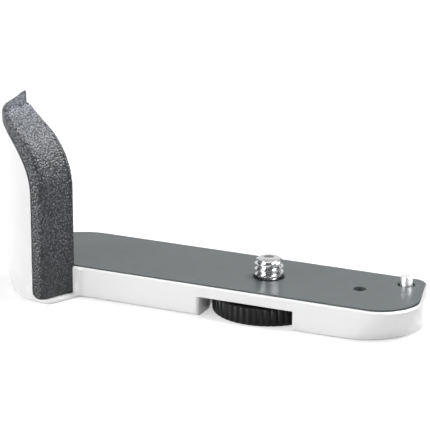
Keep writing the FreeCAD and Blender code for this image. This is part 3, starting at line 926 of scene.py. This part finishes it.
class HANDGRIP_OT_pin(bpy.types.Operator):
    """Locating pin with a rounded tip"""

    bl_idname = "hand_grip.pin"
    bl_label = "Locating pin"

    def execute(self, context):
        low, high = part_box("locating_pin")
        middle = node_middle("locating_pin")
        radius = 1.35 * MM
        tip = 0.3 * MM
        bend = 0.09 * MM
        foot = 1.65 * MM
        foot_side = -0.9 * MM
        foot_top = -0.8 * MM
        pin = lathe("locating_pin_piece", [
            (0, low[2]), (foot, low[2]), (foot, foot_side), (foot - 0.1 * MM, foot_top),
            (radius, foot_top), (radius, high[2] - tip), (radius - bend, high[2] - bend),
            (radius - tip, high[2]), (0, high[2])], segments=56)
        smooth(pin, angle=40)
        pin.location = (middle.x, middle.y, 0)
        activate(pin)
        bpy.ops.object.transform_apply(location=True, rotation=True, scale=True)
        finish_piece(pin, GRIP, finish_named("satin"), ("locating_pin",))
        return {"FINISHED"}


class HANDGRIP_OT_socket(bpy.types.Operator):
    """Threaded tripod socket in the underside"""

    bl_idname = "hand_grip.socket"
    bl_label = "Tripod socket"

    def execute(self, context):
        low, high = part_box("tripod_socket")
        middle = node_middle("tripod_socket")
        outer = 5.2 * MM
        flange = 6.2 * MM
        bore = THREAD_RADIUS
        edge = 0.2 * MM
        bore_top = low[2] + 4.6 * MM
        flange_level = high[2] - 0.6 * MM
        bush = lathe("tripod_socket_piece", [
            (0, bore_top), (bore, bore_top), (bore, low[2] + 2 * edge), (bore + 2 * edge, low[2]),
            (outer - edge, low[2]), (outer, low[2] + edge), (outer, flange_level),
            (flange, flange_level), (flange, high[2]), (0, high[2])], segments=80)
        pitch = sizes().thread_pitch
        ridge = thread_ridge(
            "inner_thread", bore - sizes().thread_depth, bore + 0.1 * MM, pitch, turns=2.5,
            start=low[2] + 0.75 * pitch)
        boolean(bush, ridge, "UNION")
        smooth(bush, angle=35, weighted=False)
        bush.location = (middle.x, middle.y, 0)
        activate(bush)
        bpy.ops.object.transform_apply(location=True, rotation=True, scale=True)
        finish_piece(bush, GRIP, finish_named("steel"), ("tripod_socket",))
        return {"FINISHED"}


class HANDGRIP_OT_small_screws(bpy.types.Operator):
    """Countersunk screws of the underside covers and the lining"""

    bl_idname = "hand_grip.small_screws"
    bl_label = "Small screws"

    def execute(self, context):
        half_turn = math.pi
        groups = (
            ("cover_screw", 4, 2.6 * MM, (half_turn, 0.0, 0.0)),
            ("lining_screw", 2, 3.0 * MM, (-half_turn / 2, 0.0, 0.0)),
        )
        for group, count, length, turn in groups:
            model = countersunk_screw(length)
            for number in range(1, count + 1):
                node = f"{group}_{number}"
                low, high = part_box(node)
                middle = node_middle(node)
                if group == "cover_screw":
                    place = (middle.x, middle.y, low[2])
                else:
                    place = (middle.x, high[1], middle.z)
                screw = placed_copy(model, f"{node}_piece", place, turn)
                finish_piece(screw, GRIP, finish_named("steel"), (node,))
            bpy.data.objects.remove(model)
        return {"FINISHED"}


class HANDGRIP_OT_inner_pieces(bpy.types.Operator):
    """Finishes of the pieces inside: frame plate, bush, washer and frame screws"""

    bl_idname = "hand_grip.inner_pieces"
    bl_label = "Inner pieces"

    def execute(self, context):
        finishes = {
            "frame_plate": "blackened", "screw_bush": "brass", "friction_washer": "wheel",
            "frame_screw_1": "steel", "frame_screw_2": "steel", "frame_screw_3": "steel",
            "frame_screw_4": "steel",
        }
        for node, key in finishes.items():
            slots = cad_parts[node].material_slots
            for slot in slots:
                slot.material = finish_named(key)
        return {"FINISHED"}


def stage_material(name, colour, glow):
    """Pale matt floor, white at a distance to the camera and in reflections."""
    finish = Finish(name)
    finish.shader.inputs["Base Color"].default_value = (*colour, 1.0)
    finish.shader.inputs["Roughness"].default_value = 0.9
    finish.shader.inputs["Specular IOR Level"].default_value = 0.1
    path = finish.add("ShaderNodeLightPath")
    seen = finish.math("MAXIMUM", path.outputs["Is Camera Ray"], path.outputs["Is Glossy Ray"])
    seen = finish.math("MAXIMUM", seen, path.outputs["Is Transmission Ray"])
    distance = finish.add("ShaderNodeVectorMath", operation="LENGTH")
    finish.link(finish.coordinates, distance.inputs[0])
    spread = finish.add("ShaderNodeMapRange")
    spread.inputs["From Min"].default_value = NEAR_FLOOR
    spread.inputs["From Max"].default_value = FAR_FLOOR
    spread.inputs["To Min"].default_value = glow
    spread.inputs["To Max"].default_value = 1.0
    finish.link(distance.outputs["Value"], spread.inputs["Value"])
    emission = finish.add("ShaderNodeEmission")
    strength = finish.math("MULTIPLY", seen, spread.outputs["Result"])
    finish.link(strength, emission.inputs["Strength"])
    both = finish.add("ShaderNodeAddShader")
    output = finish.tree.nodes["Material Output"]
    finish.link(finish.shader.outputs["BSDF"], both.inputs[0])
    finish.link(emission.outputs["Emission"], both.inputs[1])
    finish.link(both.outputs["Shader"], output.inputs["Surface"])
    return finish.material


def area_lamp(name, power, width, place, aim, reflections_only):
    """Soft square lamp aimed at a point."""
    deselect_all()
    bpy.ops.object.light_add(type="AREA", location=place)
    lamp = bpy.context.object
    lamp.name = name
    lamp.data.energy = power
    lamp.data.shape = "SQUARE"
    lamp.data.size = width
    toward = Vector(aim) - Vector(place)
    lamp.rotation_euler = toward.to_track_quat("-Z", "Y").to_euler()
    lamp.visible_diffuse = not reflections_only


def studio_world():
    """Pale sky, darker towards the horizon."""
    world = bpy.data.worlds.new("studio")
    world.use_nodes = True
    tree = world.node_tree
    background = tree.nodes["Background"]
    place = tree.nodes.new("ShaderNodeTexCoord")
    height = tree.nodes.new("ShaderNodeSeparateXYZ")
    tree.links.new(place.outputs["Generated"], height.inputs["Vector"])
    shade = tree.nodes.new("ShaderNodeValToRGB")
    for element, (level, grey) in zip(shade.color_ramp.elements, WORLD_GREYS):
        element.position = level
        element.color = (grey, grey, grey, 1.0)
    tree.links.new(height.outputs["Z"], shade.inputs["Fac"])
    tree.links.new(shade.outputs["Color"], background.inputs["Color"])
    background.inputs["Strength"].default_value = WORLD_STRENGTH
    return world


class HANDGRIP_OT_stage(bpy.types.Operator):
    """Pale floor, soft studio light and the camera"""

    bl_idname = "hand_grip.stage"
    bl_label = "Stage"

    def execute(self, context):
        scene = context.scene
        scene.view_settings.view_transform = "Standard"
        deselect_all()
        floor_level = CAD_BOX[0][2] - FLOOR_GAP
        bpy.ops.mesh.primitive_plane_add(size=FLOOR_SIZE, location=(0, 0, floor_level))
        floor = context.object
        floor.name = "floor"
        activate(floor)
        bpy.ops.object.transform_apply(location=True, rotation=True, scale=True)
        floor.data.materials.append(
            stage_material("pale floor", tuple(colours().floor), FLOOR_GLOW))
        scene.world = studio_world()
        for lamp in LAMPS:
            area_lamp(*lamp)
        bpy.ops.object.camera_add(
            location=CAMERA_PLACE, rotation=[math.radians(angle) for angle in CAMERA_TURN])
        camera = context.object
        camera.name = "camera"
        camera.data.lens = CAMERA_LENS
        camera.data.sensor_width = CAMERA_SENSOR
        camera.data.clip_start, camera.data.clip_end = CAMERA_CLIP
        scene.camera = camera
        return {"FINISHED"}


STEPS = (
    HANDGRIP_OT_shell,
    HANDGRIP_OT_covers,
    HANDGRIP_OT_pad,
    HANDGRIP_OT_lining,
    HANDGRIP_OT_seat,
    HANDGRIP_OT_screw,
    HANDGRIP_OT_wheel,
    HANDGRIP_OT_pin,
    HANDGRIP_OT_socket,
    HANDGRIP_OT_small_screws,
    HANDGRIP_OT_inner_pieces,
    HANDGRIP_OT_stage,
)


class HANDGRIP_PT_pieces(bpy.types.Panel):
    """Sizes, colours and steps of the hand grip"""

    bl_label = "Hand grip"
    bl_idname = "HANDGRIP_PT_pieces"
    bl_space_type = "VIEW_3D"
    bl_region_type = "UI"
    bl_category = "Hand grip"

    def draw(self, context):
        layout = self.layout
        for group in (context.scene.hand_grip_sizes, context.scene.hand_grip_colours):
            column = layout.column()
            for name in group.bl_rna.properties.keys():
                if name not in ("rna_type", "name"):
                    column.prop(group, name)
        for step in STEPS:
            layout.operator(step.bl_idname)


CLASSES = (HandGripSizes, HandGripColours, *STEPS, HANDGRIP_PT_pieces)


def register():
    for cls in CLASSES:
        bpy.utils.register_class(cls)
    bpy.types.Scene.hand_grip_sizes = bpy.props.PointerProperty(type=HandGripSizes)
    bpy.types.Scene.hand_grip_colours = bpy.props.PointerProperty(type=HandGripColours)


def unregister():
    del bpy.types.Scene.hand_grip_colours
    del bpy.types.Scene.hand_grip_sizes
    for cls in reversed(CLASSES):
        bpy.utils.unregister_class(cls)


def main():
    """Make every piece in order."""
    register()
    for step in STEPS:
        group, name = step.bl_idname.split(".")
        getattr(getattr(bpy.ops, group), name)()


if __name__ == "__main__":
    main()
